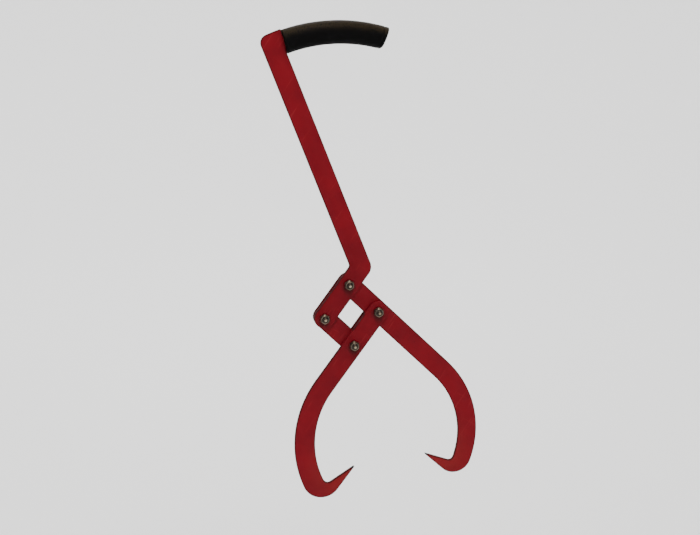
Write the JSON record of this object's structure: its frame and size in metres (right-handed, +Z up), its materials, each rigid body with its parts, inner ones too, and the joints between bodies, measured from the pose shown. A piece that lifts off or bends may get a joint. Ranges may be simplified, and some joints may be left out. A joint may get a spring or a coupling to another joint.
{
  "type": "skidding tongs",
  "caption": "Long-handled log tongs of flat red bar with a curved black hand grip, a parallelogram linkage and hooks that close on a log as it is lifted or dragged.",
  "frame": {"origin": "middle of the hand grip, on its curved centre line and in the middle plane of the handle bar", "axes": "+Z up from the hooks to the grip; +X to the right across the mouth, with the handle leaning to the left; +Y from the lock nuts to the bolt heads, so that the viewer looks along +Y"},
  "size_m": [0.3225, 0.0353, 0.7106],
  "materials": {
    "red_paint": "satin",
    "grip": "satin",
    "zinc": "satin",
    "nylon": "matt"
  },
  "bodies": {
    "handle": {"handle_bar": "red_paint", "hand_grip": "grip", "rear_link_upper": "red_paint", "pivot_bolt_upper": "zinc", "washer_upper": "zinc", "lock_nut_upper": "zinc", "nut_insert_upper": "nylon", "pivot_bolt_left": "zinc", "washer_left": "zinc", "lock_nut_left": "zinc", "nut_insert_left": "nylon"},
    "right_arm": {"right_arm": "red_paint"},
    "left_arm": {"left_arm": "red_paint", "rear_link_lower": "red_paint", "pivot_bolt_right": "zinc", "washer_right": "zinc", "lock_nut_right": "zinc", "nut_insert_right": "nylon", "pivot_bolt_lower": "zinc", "washer_lower": "zinc", "lock_nut_lower": "zinc", "nut_insert_lower": "nylon"},
    "cross_link": {"cross_link": "red_paint"}
  },
  "joints": [
    {"name": "jaw_pivot", "type": "hinge", "parent": "handle", "child": "right_arm", "pos_m": [0.02031, 0, -0.3653], "axis": [0, -1, 0], "range_deg": [-51, 67]},
    {"name": "arm_pivot", "type": "hinge", "parent": "right_arm", "child": "left_arm", "pos_m": [0.06425, 0, -0.40833], "axis": [0, -1, 0], "range_deg": [-67, 51]},
    {"name": "link_pivot", "type": "hinge", "parent": "handle", "child": "cross_link", "pos_m": [-0.0161, 0, -0.41486], "axis": [0, -1, 0], "range_deg": [-51, 67]}
  ],
  "couplings": [
    {"joint": "arm_pivot", "follows": "jaw_pivot", "ratio": -1},
    {"joint": "link_pivot", "follows": "jaw_pivot", "ratio": 1}
  ]
}
